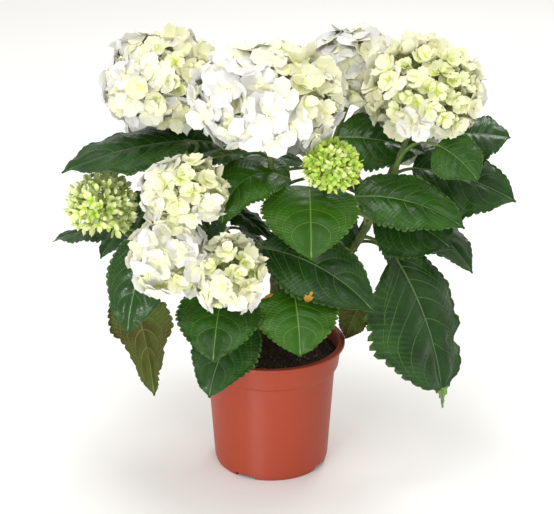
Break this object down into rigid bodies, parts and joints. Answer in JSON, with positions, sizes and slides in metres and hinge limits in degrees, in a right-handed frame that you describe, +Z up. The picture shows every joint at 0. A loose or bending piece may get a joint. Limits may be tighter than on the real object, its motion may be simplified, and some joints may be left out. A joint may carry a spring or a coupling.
{
  "type": "potted hydrangea shrub",
  "caption": "Leafy hydrangea shrub with rounded white flower heads and lime green bud clusters, in a tapered plastic pot with a collar.",
  "frame": {"origin": "middle of the flat underside of the pot, on the surface that the pot stands on", "axes": "+Z up through the plant, -Y towards the side from which the plant is usually seen, +X to that viewer's right"},
  "size_m": [0.4306, 0.3089, 0.4326],
  "materials": {
    "pot": "moulded polypropylene in terracotta colour, semi-gloss",
    "soil": "dark damp peat, matt and crumbly",
    "bark": "grey-brown flaking bark",
    "cane": "smooth green young wood with pale dots",
    "leaf": "dark green quilted leaf, glossy above",
    "bloom": "thin matt white sepals with lime centres",
    "bud": "small matt lime green sepals with pale tips"
  },
  "bodies": {
    "root": {"pot": "pot", "soil": "soil", "main_stem": "bark", "cane_upper_left": "cane", "foliage_upper_left": "leaf", "bloom_upper_left": "bloom", "cane_upper_front": "cane", "foliage_upper_front": "leaf", "bloom_upper_front": "bloom", "cane_upper_back": "cane", "foliage_upper_back": "leaf", "bloom_upper_back": "bloom", "cane_upper_right": "cane", "foliage_upper_right": "leaf", "bloom_upper_right": "bloom", "cane_lower_left": "cane", "foliage_lower_left": "leaf", "bloom_lower_left": "bloom", "cane_left_bud": "cane", "foliage_left_bud": "leaf", "bloom_left_bud": "bud", "cane_front_bud": "cane", "foliage_front_bud": "leaf", "bloom_front_bud": "bud", "cane_back_left": "cane", "foliage_back_left": "leaf", "bloom_back_left": "bloom", "cane_back_middle": "cane", "foliage_back_middle": "leaf", "bloom_back_middle": "bloom", "cane_back_right": "cane", "foliage_back_right": "leaf", "bloom_back_right": "bloom"}
  },
  "joints": []
}
